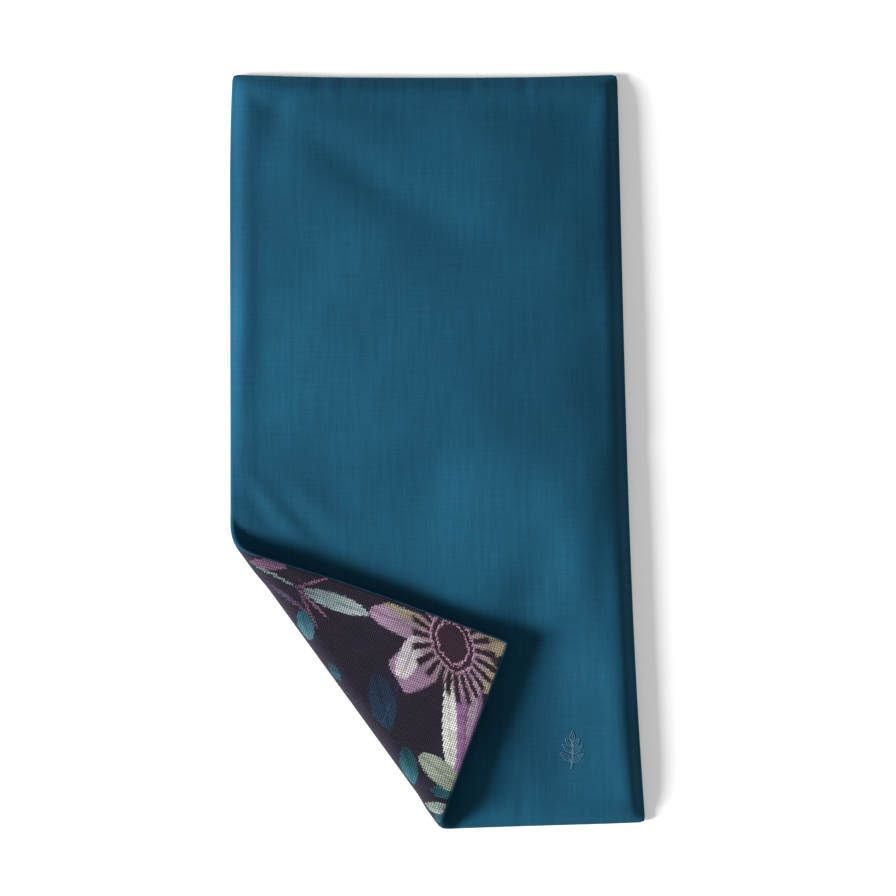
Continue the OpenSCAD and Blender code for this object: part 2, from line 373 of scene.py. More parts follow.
def finish_panel(bm, name, turned, thickness, material):
    """The part of a panel on one side of the middle of the roll, folded, with its thickness."""
    bm = bm.copy()
    gone = [f for f in bm.faces
            if (in_from_fold(*f.calc_center_median()[:2]) < split_at) != turned]
    bmesh.ops.delete(bm, geom=gone, context="FACES")
    uv = bm.loops.layers.uv.new("cloth")
    for f in bm.faces:
        for loop in f.loops:
            loop[uv].uv = loop.vert.co.xy * MM
    place(bm, fold_over([v.co[:] for v in bm.verts]))
    obj = mesh_object(name, bm)
    wall = obj.modifiers.new("Thickness", "SOLIDIFY")
    wall.thickness = thickness * MM
    wall.offset = -1
    wall.use_even_offset = False
    obj.data.materials.append(material)
    return obj


def bend_over_fold(obj, turned):
    """Works out the ends of the middle three fifths of the roll's lower quarter, or of its upper one for
    the turned part, and bakes the piece's placement into its mesh; it bends nothing."""
    if turned:
        a, b = np.array((0, mid_z + roll_r)), np.array((roll_r, mid_z + 2 * roll_r))
    else:
        a, b = np.array((roll_r, mid_z)), np.array((0, mid_z + roll_r))
    a, b = a + 0.2 * (b - a), b - 0.2 * (b - a)
    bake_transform(obj)


def stitches(name, runs, radius, material):
    """Short lengths of thread, one per run of points in millimetres, as one mesh."""
    curve = bpy.data.curves.new(name, "CURVE")
    curve.dimensions = "3D"
    curve.bevel_depth = radius * MM
    curve.bevel_resolution = 1
    curve.use_fill_caps = True
    for run in runs:
        spline = curve.splines.new("POLY")
        spline.points.add(len(run) - 1)
        for point, p in zip(spline.points, run):
            point.co = (*(np.array(p) * MM), 1)
    thread = bpy.data.objects.new(name, curve)
    scene.collection.objects.link(thread)
    mesh = bpy.data.meshes.new_from_object(thread.evaluated_get(bpy.context.evaluated_depsgraph_get()))
    bpy.data.objects.remove(thread)
    mesh.name = name
    mesh.materials.clear()
    mesh.materials.append(material)
    mesh.polygons.foreach_set("use_smooth", [True] * len(mesh.polygons))
    obj = bpy.data.objects.new(name, mesh)
    scene.collection.objects.link(obj)
    return obj


# ---------------------------------------------------------------- materials
def linear(hexes):
    """An sRGB hex colour as the linear colour that a socket takes."""
    parts = [int(hexes[k:k + 2], 16) / 255 for k in (1, 3, 5)]
    return (*[c / 12.92 if c <= 0.04045 else ((c + 0.055) / 1.055) ** 2.4 for c in parts], 1)


def add(tree, kind, sockets=None, **settings):
    """Adds a node with its settings, and links or sets its sockets."""
    node = tree.nodes.new(kind)
    for name, value in settings.items():
        setattr(node, name, value)
    for socket, value in (sockets or {}).items():
        if isinstance(value, bpy.types.Node):
            value = value.outputs[2 if value.bl_idname == "ShaderNodeMix" else 0]
        if isinstance(value, bpy.types.NodeSocket):
            tree.links.new(value, node.inputs[socket])
        else:
            node.inputs[socket].default_value = value
    return node


def new_material(name, **sockets):
    material = bpy.data.materials.new(name)
    material.use_nodes = True
    shader = material.node_tree.nodes["Principled BSDF"]
    for socket, value in sockets.items():
        shader.inputs[socket.replace("_", " ")].default_value = value
    return material, material.node_tree, shader


def cotton_sateen_teal():
    """Piece-dyed cotton sateen: a smooth matt face with a faint glow, fine lengthwise slubs, and dye
    that takes a little unevenly."""
    m, tree, shader = new_material("cotton_sateen_teal", Roughness=0.85, Specular_IOR_Level=0.12,
                                   Sheen_Weight=0.10, Sheen_Roughness=0.5,
                                   Sheen_Tint=linear("#5fa0bd"))
    cloth = add(tree, "ShaderNodeUVMap", uv_map="cloth")
    # slubs about 0.5 mm wide and 9 mm long, the same across the cloth, broader ones 1.4 by 25 mm,
    # and 0.4 mm grain
    slub_at = add(tree, "ShaderNodeVectorMath", {0: cloth, 1: (2000, 110, 1)}, operation="MULTIPLY")
    slub = add(tree, "ShaderNodeTexNoise", {"Vector": slub_at, "Scale": 1.0, "Detail": 2.0})
    weft_at = add(tree, "ShaderNodeVectorMath", {0: cloth, 1: (90, 1800, 1)}, operation="MULTIPLY")
    weft = add(tree, "ShaderNodeTexNoise", {"Vector": weft_at, "Scale": 1.0, "Detail": 1.0})
    streak_at = add(tree, "ShaderNodeVectorMath", {0: cloth, 1: (700, 40, 1)}, operation="MULTIPLY")
    streak = add(tree, "ShaderNodeTexNoise", {"Vector": streak_at, "Scale": 1.0, "Detail": 2.0})
    grain = add(tree, "ShaderNodeTexNoise", {"Vector": cloth, "Scale": 2400.0, "Detail": 2.0})
    # dye drifting over some 50 mm
    drift = add(tree, "ShaderNodeTexNoise", {"Vector": cloth, "Scale": 19.0, "Detail": 2.0})
    spread = add(tree, "ShaderNodeMapRange", {0: drift, 1: 0.32, 2: 0.68, 3: 0.0, 4: 1.0})
    dye = add(tree, "ShaderNodeMix", {0: spread.outputs[0], 6: linear("#12475f"), 7: linear("#18546f")},
              data_type="RGBA")
    fine = add(tree, "ShaderNodeMath", {0: slub, 1: grain}, operation="ADD")
    cross = add(tree, "ShaderNodeMath", {0: weft, 1: streak}, operation="ADD")
    both = add(tree, "ShaderNodeMath", {0: fine, 1: cross}, operation="ADD")
    tone = add(tree, "ShaderNodeMapRange", {0: both, 1: 1.5, 2: 2.5, 3: 0.84, 4: 1.16})
    shade = add(tree, "ShaderNodeVectorMath", {0: dye, 3: tone}, operation="SCALE")
    tree.links.new(shade.outputs[0], shader.inputs["Base Color"])
    height = add(tree, "ShaderNodeMath", {0: fine, 1: weft}, operation="ADD")
    bump = add(tree, "ShaderNodeBump", {"Height": height, "Strength": 0.35, "Distance": 0.00012})
    tree.links.new(bump.outputs[0], shader.inputs["Normal"])
    return m


def motif_group():
    """Node group: one printed leaf or petal. Gives its mask, and how far along it a point lies."""
    tree = bpy.data.node_groups.new("printed_petal", "ShaderNodeTree")
    for name, kind in (("Place", "NodeSocketVector"), ("Centre", "NodeSocketVector"),
                       ("Turn", "NodeSocketVector"), ("Half size", "NodeSocketVector"),
                       ("Bluntness", "NodeSocketFloat")):
        tree.interface.new_socket(name, in_out="INPUT", socket_type=kind)
    for name in ("Mask", "Along", "Across"):
        tree.interface.new_socket(name, in_out="OUTPUT", socket_type="NodeSocketFloat")
    given = add(tree, "NodeGroupInput")
    inside = add(tree, "ShaderNodeMapping", {0: given.outputs[0], 1: given.outputs[1],
                                             2: given.outputs[2], 3: given.outputs[3]},
                 vector_type="TEXTURE")
    split = add(tree, "ShaderNodeSeparateXYZ", {0: inside})
    square = add(tree, "ShaderNodeMath", {0: split.outputs[0], 1: split.outputs[0]}, operation="MULTIPLY")
    rest = add(tree, "ShaderNodeMath", {0: 1.0, 1: square}, operation="SUBTRACT", use_clamp=True)
    profile = add(tree, "ShaderNodeMath", {0: rest, 1: given.outputs[4]}, operation="POWER")
    side = add(tree, "ShaderNodeMath", {0: split.outputs[1]}, operation="ABSOLUTE")
    room = add(tree, "ShaderNodeMath", {0: profile, 1: side}, operation="SUBTRACT")
    mask = add(tree, "ShaderNodeMapRange", {0: room, 1: -0.02, 2: 0.10, 3: 0.0, 4: 1.0})
    add(tree, "NodeGroupOutput", {0: mask, 1: split.outputs[0], 2: split.outputs[1]})
    return tree


# The print, lowest first: centre x and y, direction, length, width, bluntness (1 pointed, 0.3 blunt),
# and the colours at its root and its tip.
MOTIFS = [
    (-16.7, -75.9, -75, 19, 8.0, 0.8, "#1e2f48", "#22405a"),
    (-31.2, -67.0, -60, 7, 2.8, 1.0, "#1a4452", "#245a66"),
    (-40.1, -52.7, -70, 10, 5.0, 0.8, "#265e6c", "#47737e"),
    (-8.5, -95.5, -75, 13, 5.2, 0.8, "#1a4653", "#286a76"),
    (2.2, -103.4, -10, 9, 4.4, 0.8, "#1c5260", "#2c6c76"),
    (1.9, -112.3, -45, 7, 3.2, 0.8, "#1c5260", "#2c6c76"),
    (0.5, -108.3, -15, 8.5, 3.4, 0.8, "#74867f", "#96a59d"),
    (-51.1, -33.9, -12, 11, 3.2, 0.8, "#6c4a66", "#8a6280"),
    (-50.0, -37.0, -30, 17, 0.8, 0.6, "#5f7274", "#8a9a96"),
    (-38.3, -39.7, 15, 10, 0.8, 0.5, "#7c5270", "#96687f"),
    (-38.0, -46.0, -45, 14, 0.8, 0.5, "#7c5270", "#96687f"),
    (-39.6, -47.3, -62, 14, 0.8, 0.5, "#6a4862", "#845a74"),
    (-36.5, -43.0, -20, 14, 0.8, 0.5, "#6a4862", "#845a74"),
    (-45.0, -44.5, -38, 18, 1.2, 0.6, "#483850", "#62506c"),
    (-30.9, -45.7, -21, 22, 5.2, 0.7, "#74898d", "#aabcb8"),
    (13.0, -58.0, 4, 21, 11.5, 0.45, "#7e705b", "#a4987f"),
    (12.0, -66.5, -42, 23, 9.5, 0.45, "#8a7d68", "#b8ab92"),
    (9.0, -50.5, 48, 16, 8.5, 0.5, "#7c6e5a", "#a0957a"),
    (8.6, -82.0, -95, 44, 9.4, 0.4, "#7e5c84", "#ab7fae"),
    (11.0, -76.0, -100, 26, 2.6, 0.6, "#b4a2b0", "#a98fa8"),
    (-8.0, -53.2, 157, 27, 8.2, 0.35, "#84707c", "#b190ad"),
    (-6.6, -51.0, 154, 23, 3.2, 0.6, "#7a7060", "#aaa08c"),
    (-4.2, -64.2, -150, 19.5, 14.0, 0.1, "#8c7a86", "#a884a5"),
    (-8.6, -62.4, -112, 14, 7.0, 0.35, "#c9c2ca", "#dcd6dd"),
    (3.65, -83.8, -88, 28, 4.6, 0.42, "#dcded6", "#e2e4da"),
    (1.5, -97.9, -40, 17.8, 7.0, 0.5, "#a4ad9c", "#96a092"),
]
FLOWER = (4.2, -58.4)


THREAD_MM = 0.68


def canvas_botanical_print():
    """Plain-woven linen-look cotton canvas, pigment printed: thick slubby threads about 0.68 mm apart,
    which stand proud of gaps, carry the print and break up its edges. Painted shade darkens the gaps and a
    painted highlight lightens the thread tops."""
    m, tree, shader = new_material("canvas_botanical_print", Roughness=0.9, Specular_IOR_Level=0.15,
                                   Sheen_Weight=0.08, Sheen_Roughness=0.6)
    cloth = add(tree, "ShaderNodeUVMap", uv_map="cloth")
    flat = add(tree, "ShaderNodeVectorMath", {0: cloth, 1: (1000, 1000, 0)}, operation="MULTIPLY")
    # threads wander by a fraction of their pitch
    wander = add(tree, "ShaderNodeTexNoise", {"Vector": flat, "Scale": 0.35, "Detail": 1.0})
    wander_by = add(tree, "ShaderNodeVectorMath", {0: wander.outputs[1], 1: (0.5, 0.5, 0.5)},
                    operation="SUBTRACT")
    wander_mm = add(tree, "ShaderNodeVectorMath", {0: wander_by, 3: 0.5}, operation="SCALE")
    threads = add(tree, "ShaderNodeVectorMath", {0: flat, 1: wander_mm}, operation="ADD")
    turns = add(tree, "ShaderNodeVectorMath", {0: threads, 3: pi / THREAD_MM}, operation="SCALE")
    crossing = add(tree, "ShaderNodeSeparateXYZ", {0: turns})
    warp = add(tree, "ShaderNodeMath", {0: crossing.outputs[0]}, operation="SINE")
    weft = add(tree, "ShaderNodeMath", {0: crossing.outputs[1]}, operation="SINE")
    over = add(tree, "ShaderNodeMath", {0: warp, 1: weft}, operation="MULTIPLY")
    over = add(tree, "ShaderNodeMath", {0: over, 1: 0.4}, operation="MULTIPLY")
    warp_up = add(tree, "ShaderNodeMath", {0: warp}, operation="ABSOLUTE")
    weft_up = add(tree, "ShaderNodeMath", {0: weft}, operation="ABSOLUTE")
    warp_up = add(tree, "ShaderNodeMath", {0: warp_up, 1: 0.6, 2: over}, operation="MULTIPLY_ADD")
    under = add(tree, "ShaderNodeMath", {0: 0.0, 1: over}, operation="SUBTRACT")
    weft_up = add(tree, "ShaderNodeMath", {0: weft_up, 1: 0.6, 2: under}, operation="MULTIPLY_ADD")
    weave = add(tree, "ShaderNodeMath", {0: warp_up, 1: weft_up}, operation="MAXIMUM")
    # the print, taken up thread by thread
    cells = add(tree, "ShaderNodeVectorMath", {0: threads, 1: (THREAD_MM,) * 3}, operation="SNAP")
    printed = add(tree, "ShaderNodeMix", {0: 0.65, 4: flat.outputs[0], 5: cells.outputs[0]},
                  data_type="VECTOR")
    blur = add(tree, "ShaderNodeTexNoise", {"Vector": flat, "Scale": 1.6, "Detail": 0.0})
    blur_by = add(tree, "ShaderNodeVectorMath", {0: blur.outputs[1], 1: (0.5, 0.5, 0.5)},
                  operation="SUBTRACT")
    printed = add(tree, "ShaderNodeVectorMath", {0: blur_by, 1: (0.9, 0.9, 0), 2: printed.outputs[1]},
                  operation="MULTIPLY_ADD")
    # The print is drawn as it lies on the turned corner, so flat cloth is turned over the fold first.
    turn = 2 * np.arctan2(inward[1], inward[0])
    over_fold = np.array([[-cos(turn), -sin(turn)], [-sin(turn), cos(turn)]])
    shift = fold_at + (2 * roll_r - half_turn) * inward - over_fold @ fold_at
    lying = add(tree, "ShaderNodeMapping", {0: printed, 1: (*shift, 0), 2: (0, 0, turn), 3: (-1, 1, 1)})
    # one repeat of the pattern is 92 by 104 mm
    place_at = add(tree, "ShaderNodeVectorMath", {0: lying, 1: (26, -15, 10), 2: (-66, -119, -10)},
                   operation="WRAP")
    streaks = add(tree, "ShaderNodeTexNoise", {"Vector": place_at, "Scale": 0.55, "Detail": 3.0,
                                               "Roughness": 0.7})
    mottled = add(tree, "ShaderNodeTexNoise", {"Vector": place_at, "Scale": 0.12, "Detail": 2.0})
    colour = add(tree, "ShaderNodeMix", {0: mottled, 6: linear("#1e1a2a"), 7: linear("#2b2537")},
                 data_type="RGBA")
    petal = motif_group()
    for x, y, angle, length, width, blunt, root, tip in MOTIFS:
        part = add(tree, "ShaderNodeGroup", {}, node_tree=petal)
        tree.links.new(place_at.outputs[0], part.inputs[0])
        part.inputs[1].default_value = (x, y, 0)
        part.inputs[2].default_value = (0, 0, radians(angle))
        part.inputs[3].default_value = (length / 2, width / 2, 1)
        part.inputs[4].default_value = blunt
        # paint runs out in streaks towards the tip
        run = add(tree, "ShaderNodeMath", {0: streaks, 1: 1.6, 2: part.outputs[1]},
                  operation="MULTIPLY_ADD")
        run = add(tree, "ShaderNodeMapRange", {0: run, 1: 0.1, 2: 1.6, 3: 0.0, 4: 1.0})
        tint = add(tree, "ShaderNodeMix", {0: run.outputs[0], 6: linear(root), 7: linear(tip)},
                   data_type="RGBA")
        vein = add(tree, "ShaderNodeMath", {0: part.outputs[2]}, operation="ABSOLUTE")
        vein = add(tree, "ShaderNodeMapRange", {0: vein, 1: 0.0, 2: 0.16, 3: 0.6, 4: 1.0})
        edge = add(tree, "ShaderNodeVectorMath", {0: tint, 3: vein}, operation="SCALE")
        colour = add(tree, "ShaderNodeMix", {0: part.outputs[0], 6: colour, 7: edge.outputs[0]},
                     data_type="RGBA")
    # the flower's dark middle, its fringe of fine clubs, and two pale rings
    middle = add(tree, "ShaderNodeMapping", {0: place_at, 1: (*FLOWER, 0), 2: (0, 0, radians(-67)),
                                             3: (6.4, 3.8, 1)}, vector_type="TEXTURE")
    out = add(tree, "ShaderNodeVectorMath", {0: middle}, operation="LENGTH")
    round_at = add(tree, "ShaderNodeSeparateXYZ", {0: middle})
    bearing = add(tree, "ShaderNodeMath", {0: round_at.outputs[1], 1: round_at.outputs[0]},
                  operation="ARCTAN2")
    beats = add(tree, "ShaderNodeMath", {0: bearing, 1: 24.0}, operation="MULTIPLY")
    beats = add(tree, "ShaderNodeMath", {0: beats}, operation="SINE")
    reach = add(tree, "ShaderNodeMath", {0: bearing, 1: 5.0}, operation="MULTIPLY")
    reach = add(tree, "ShaderNodeMath", {0: reach}, operation="SINE")
    reach = add(tree, "ShaderNodeMath", {0: reach, 1: 0.18, 2: out.outputs[1]}, operation="MULTIPLY_ADD")
    # olive shading on the petals where the fringe lies
    shaded = add(tree, "ShaderNodeMapRange", {0: reach, 1: 1.7, 2: 3.1, 3: 0.55, 4: 0.0})
    colour = add(tree, "ShaderNodeMix", {0: shaded.outputs[0], 6: colour, 7: linear("#675a50")},
                 data_type="RGBA")
    for inner, outer, lo, hi, tone in ((1.5, 3.0, -0.2, 0.35, "#2c1c28"),
                                       (1.4, 2.5, -0.55, -0.85, "#a5879a")):
        spoke = add(tree, "ShaderNodeMapRange", {0: beats, 1: lo, 2: hi, 3: 0.0, 4: 1.0})
        begins = add(tree, "ShaderNodeMapRange", {0: reach, 1: inner - 0.1, 2: inner + 0.1,
                                                  3: 0.0, 4: 1.0})
        ends = add(tree, "ShaderNodeMapRange", {0: reach, 1: outer - 0.15, 2: outer + 0.15,
                                                3: 1.0, 4: 0.0})
        band = add(tree, "ShaderNodeMath", {0: begins, 1: ends}, operation="MULTIPLY")
        band = add(tree, "ShaderNodeMath", {0: band, 1: spoke}, operation="MULTIPLY")
        colour = add(tree, "ShaderNodeMix", {0: band.outputs[0], 6: colour, 7: linear(tone)},
                     data_type="RGBA")
    disc = add(tree, "ShaderNodeMapRange", {0: out.outputs[1], 1: 1.5, 2: 1.62, 3: 1.0, 4: 0.0})
    colour = add(tree, "ShaderNodeMix", {0: disc.outputs[0], 6: colour, 7: linear("#33202e")},
                 data_type="RGBA")
    for size in (1.14, 1.52):
        off = add(tree, "ShaderNodeMath", {0: out.outputs[1], 1: size}, operation="SUBTRACT")
        off = add(tree, "ShaderNodeMath", {0: off}, operation="ABSOLUTE")
        ring = add(tree, "ShaderNodeMapRange", {0: off, 1: 0.02, 2: 0.08, 3: 1.0, 4: 0.0})
        colour = add(tree, "ShaderNodeMix", {0: ring.outputs[0], 6: colour, 7: linear("#b98ca6")},
                     data_type="RGBA")
    # thread by thread unevenness, with painted shade in the gaps of the weave and a painted highlight on
    # the thread tops
    slubs_at = add(tree, "ShaderNodeVectorMath", {0: flat, 1: (1.5, 0.12, 1)}, operation="MULTIPLY")
    slubs = add(tree, "ShaderNodeTexNoise", {"Vector": slubs_at, "Scale": 1.0, "Detail": 1.0})
    lint = add(tree, "ShaderNodeTexNoise", {"Vector": flat, "Scale": 2.2, "Detail": 1.0})
    uneven = add(tree, "ShaderNodeMath", {0: slubs, 1: lint}, operation="ADD")
    uneven = add(tree, "ShaderNodeMapRange", {0: uneven, 1: 0.7, 2: 1.3, 3: 0.70, 4: 1.15})
    painted_gap_shade_and_highlight = add(tree, "ShaderNodeMapRange", {0: weave, 1: 0.30, 2: 0.75, 3: 0.35, 4: 1.15})
    light = add(tree, "ShaderNodeMath", {0: uneven, 1: painted_gap_shade_and_highlight}, operation="MULTIPLY")
    cloth_colour = add(tree, "ShaderNodeVectorMath", {0: colour, 3: light}, operation="SCALE")
    tree.links.new(cloth_colour.outputs[0], shader.inputs["Base Color"])
    bump = add(tree, "ShaderNodeBump", {"Height": weave, "Strength": 0.8, "Distance": 0.0002})
    tree.links.new(bump.outputs[0], shader.inputs["Normal"])
    return m


def spun_thread(name, light, dark, roughness, sheen):
    """Twisted sewing or embroidery thread: plies that catch the light in turn, about 0.4 mm apart, given as
    a painted highlight and painted shade on alternate plies.
    """
    m, tree, shader = new_material(name, Roughness=roughness, Sheen_Weight=sheen, Specular_IOR_Level=0.4)
    here = add(tree, "ShaderNodeTexCoord")
    plies = add(tree, "ShaderNodeTexWave", {"Vector": here.outputs["Object"], "Scale": 800.0,
                                            "Distortion": 2.0, "Detail": 1.0}, bands_direction="DIAGONAL")
    # painted highlight and painted shade on alternate plies
    tint = add(tree, "ShaderNodeMix", {0: plies.outputs[1], 6: linear(dark), 7: linear(light)},
               data_type="RGBA")
    tree.links.new(tint.outputs[2], shader.inputs["Base Color"])
    bump = add(tree, "ShaderNodeBump", {"Height": plies.outputs[1], "Strength": 0.4, "Distance": 0.00005})
    tree.links.new(bump.outputs[0], shader.inputs["Normal"])
    return m


def calico_unbleached():
    """Unbleached calico: a thin plain weave with about 20 threads to the centimetre, cream with
    brown flecks of seed husk."""
    m, tree, shader = new_material("calico_unbleached", Roughness=0.92, Specular_IOR_Level=0.15)
    cloth = add(tree, "ShaderNodeTexCoord")
    turns = add(tree, "ShaderNodeVectorMath", {0: cloth.outputs["Object"], 3: pi / 0.0005},
                operation="SCALE")
    parts = add(tree, "ShaderNodeSeparateXYZ", {0: turns})
    a = add(tree, "ShaderNodeMath", {0: parts.outputs[0]}, operation="SINE")
    b = add(tree, "ShaderNodeMath", {0: parts.outputs[1]}, operation="SINE")
    weave = add(tree, "ShaderNodeMath", {0: a, 1: b}, operation="MULTIPLY")
    flecks = add(tree, "ShaderNodeTexNoise", {"Vector": cloth.outputs["Object"], "Scale": 900.0})
    fleck = add(tree, "ShaderNodeMapRange", {0: flecks, 1: 0.66, 2: 0.72, 3: 0.0, 4: 1.0})
    tone = add(tree, "ShaderNodeMapRange", {0: weave, 1: -1.0, 2: 1.0, 3: 0.0, 4: 1.0})
    ground = add(tree, "ShaderNodeMix", {0: tone.outputs[0], 6: linear("#cfc3a8"), 7: linear("#e6dcc6")},
                 data_type="RGBA")
    colour = add(tree, "ShaderNodeMix", {0: fleck.outputs[0], 6: ground, 7: linear("#8d7654")},
                 data_type="RGBA")
    tree.links.new(colour.outputs[2], shader.inputs["Base Color"])
    bump = add(tree, "ShaderNodeBump", {"Height": weave, "Strength": 0.5, "Distance": 0.0001})
    tree.links.new(bump.outputs[0], shader.inputs["Normal"])
    return m


def loose_seed(name, size_mm, dark, light, roughness):
    """A heap of small glossy seeds or dry buds, each one its own shade."""
    m, tree, shader = new_material(name, Roughness=roughness)
    here = add(tree, "ShaderNodeTexCoord")
    seeds = add(tree, "ShaderNodeTexVoronoi", {"Vector": here.outputs["Object"],
                                               "Scale": 1000.0 / size_mm})
    shade = add(tree, "ShaderNodeMix", {0: seeds.outputs[1], 6: linear(dark), 7: linear(light)},
                data_type="RGBA")
    tree.links.new(shade.outputs[2], shader.inputs["Base Color"])
    bump = add(tree, "ShaderNodeBump", {"Height": seeds, "Strength": 0.9, "Distance": 0.0006},
               invert=True)
    tree.links.new(bump.outputs[0], shader.inputs["Normal"])
    return m


def stabiliser_nonwoven():
    """Non-woven stabiliser: pressed white fibres in every direction."""
    m, tree, shader = new_material("stabiliser_nonwoven", Roughness=0.85)
    here = add(tree, "ShaderNodeTexCoord")
    fibres = add(tree, "ShaderNodeTexNoise", {"Vector": here.outputs["Object"], "Scale": 1500.0,
                                              "Detail": 4.0, "Distortion": 3.0})
    tint = add(tree, "ShaderNodeMix", {0: fibres, 6: linear("#d8d8d4"), 7: linear("#fbfbf8")},
               data_type="RGBA")
    tree.links.new(tint.outputs[2], shader.inputs["Base Color"])
    bump = add(tree, "ShaderNodeBump", {"Height": fibres, "Strength": 0.5, "Distance": 0.0001})
    tree.links.new(bump.outputs[0], shader.inputs["Normal"])
    return m


sateen = cotton_sateen_teal()
canvas = canvas_botanical_print()
sewing_thread = spun_thread("polyester_sewing_thread", "#2f6278", "#173d50", 0.6, 0.1)
embroidery_thread = spun_thread("rayon_embroidery_thread", "#33708a", "#1f4f63", 0.45, 0.15)
bag_thread = spun_thread("cotton_bag_thread", "#f1ead8", "#d5cbb2", 0.8, 0.1)
calico = calico_unbleached()
flax = loose_seed("flaxseed_whole", 2.4, "#4a2c18", "#96653a", 0.3)
lavender = loose_seed("lavender_buds_dried", 1.1, "#4e4768", "#9a90b4", 0.8)
stabiliser = stabiliser_nonwoven()

# ---------------------------------------------------------------- the cover
# The front's cloth wraps round the edge and meets the back a little in from it, underneath.
FRONT_THICK, BACK_THICK = 0.35, 0.5
CLOTH_PITCH = 1.45
wrap = [radians(a) for a in (-55, -35, -15, 5, 30, 55, 75, 90)]
front = cover_cloth(1, [0.75] + [EDGE_R * (1 - cos(a)) for a in wrap] + [1.6, 3.0],
                    [-1.3] + [EDGE_R * (sin(a) - 1) for a in wrap] + [0, 0], CLOTH_PITCH)
back = cover_cloth(-1, [0.72, 0.36, 0.5, 0.8, 1.3, 2.2, 3.2], [0.85, 0.42, 0.25, 0.1, 0.02, 0, 0],
                   CLOTH_PITCH)
front_top_side = finish_panel(front, "front_panel_sateen", False, FRONT_THICK, sateen)
front_turned = finish_panel(front, "front_panel_turned_corner", True, FRONT_THICK, sateen)
back_table_side = finish_panel(back, "back_panel_canvas", False, BACK_THICK, canvas)
back_turned = finish_panel(back, "back_panel_turned_corner", True, BACK_THICK, canvas)
front.free()
back.free()
for obj, turned, nodes in (
        (front_top_side, False, ("front_panel", "front_panel_fold")),
        (back_table_side, False, ("back_panel", "back_panel_fold")),
        (front_turned, True, ("front_panel_corner",)),
        (back_turned, True, ("back_panel_corner",))):
    bend_over_fold(obj, turned)
    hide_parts(*nodes)


# ---------------------------------------------------------------- the seam
def around_cover(inset, pitch):
    """Points along the cover's edge, inset from it, about a pitch apart, anticlockwise from the
    lower left."""
    corners = [(0, 0), (1, 0), (1, 1), (0, 1)]
    points = []
    for k, (a, b) in enumerate(zip(corners, corners[1:] + corners[:1])):
        length = WIDTH if k % 2 == 0 else LENGTH
        for t in np.linspace(0, 1, int(length / pitch), endpoint=False):
            u, v = a[0] + (b[0] - a[0]) * t, a[1] + (b[1] - a[1]) * t
            x = left_x(v) + inset + u * (right_x(v) - left_x(v) - 2 * inset)
            y = bottom_y(u) + inset + v * (top_y(u) - bottom_y(u) - 2 * inset)
            points.append((x, y))
    return np.array(points)


seam = around_cover(1.0, 1.25)
# the turning gap in the top end, which is closed by hand
GAP = (-34, 26)
sewn = {False: [], True: []}
for k in range(0, len(seam) - 1, 2):
    a, b = seam[k], seam[k + 1]
    if a[1] > 112 and GAP[0] < a[0] < GAP[1]:
        continue
    turned = in_from_fold(*((a + b) / 2)) < split_at
    z = seam_height(*a) - 0.75
    sewn[turned].append(fold_over([(*a, z + 0.12), (*(a * 0.7 + b * 0.3), z), (*(a * 0.3 + b * 0.7), z),
                                   (*b, z + 0.12)]))
cover_seam = stitches("cover_seam_thread_stitches", sewn[False], 0.12, sewing_thread)
corner_seam = stitches("corner_seam_thread_stitches", sewn[True], 0.12, sewing_thread)
bend_over_fold(cover_seam, False)
bend_over_fold(corner_seam, True)
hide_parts("cover_seam_thread")
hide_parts("corner_seam_thread")

# hand ladder stitches across the closed gap: each bar dips from the front's fold to the back's
bars = []
for x in np.arange(GAP[0] + 1, GAP[1], 3.0):
    y = top_y((x - left_x(1)) / WIDTH)
    z = seam_height(x, y)
    bars.append([(x, y - 0.9, z - 0.95), (x + 0.1, y - 0.25, z - 0.62), (x + 0.35, y - 0.02, z - 0.1),
                 (x + 0.6, y - 0.2, z + 0.3)])
closing = stitches("closing_ladder_stitches", bars, 0.11, sewing_thread)
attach(closing, "pillow")
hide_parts("closing_stitches")

# ---------------------------------------------------------------- embroidery
SPRIG = (41, -92)


def on_front(points, lift):
    """Points in the plane, laid on the front."""
    points = np.array(points, float)
    z = front_top(points[:, 0], points[:, 1]) + lift
    return np.column_stack([points, z])


def sprig_runs():
    """Outline of a small generic sprig: a stem, paired leaves with a midrib, and one at its tip."""
    stem = [(0.5 * sin(t * 2.2), -5.6 + 8.2 * t) for t in np.linspace(0, 1, 9)]
    runs = [stem, [(x + 0.28, y) for x, y in stem]]
    # where each leaf leaves the stem, its direction and its length
    leaves = [((0.3, -3.6), 38, 4.6), ((0.3, -3.2), 142, 4.4), ((0.45, -1.0), 42, 4.2),
              ((0.45, -0.6), 138, 4.0), ((0.45, 1.2), 50, 3.4), ((0.4, 1.5), 130, 3.2),
              ((0.4, 2.6), 88, 3.6)]
    for (x, y), turn, length in leaves:
        c, s = cos(radians(turn)), sin(radians(turn))
        for side in (-1, 0, 1):
            t = np.linspace(0, 1 if side else 0.75, 9)
            bow = side * 0.85 * np.sin(t * pi) * (1 - 0.3 * t)
            runs.append([(x + c * length * a - s * b, y + s * length * a + c * b) for a, b in zip(t, bow)])
    return [on_front(np.array(r) + SPRIG, 0.06 if k % 2 else 0.1) for k, r in enumerate(runs)]


sprig = stitches("embroidered_sprig_thread", sprig_runs(), 0.15, embroidery_thread)
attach(sprig, "pillow")
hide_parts("embroidered_sprig")

bm = bmesh.new()
bmesh.ops.create_grid(bm, x_segments=12, y_segments=12, size=6.6)
place(bm, [(v.co.x + SPRIG[0], v.co.y + SPRIG[1],
            float(front_top(v.co.x + SPRIG[0], v.co.y + SPRIG[1])) - 0.5) for v in bm.verts])
backing = mesh_object("embroidery_backing_patch", bm)
wall = backing.modifiers.new("Thickness", "SOLIDIFY")
wall.thickness = 0.15 * MM
backing.data.materials.append(stabiliser)
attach(backing, "pillow")
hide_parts("embroidery_backing")

# ---------------------------------------------------------------- inner bag and fill
# How far the bag lies in from the cover's edges and from the fold, and its seam in from its own edge.
BAG_INSET = 8.5
BAG_CLEAR = roll_r + 24
BAG_SEAM = 2.4
FILL_PITCH = 2.4


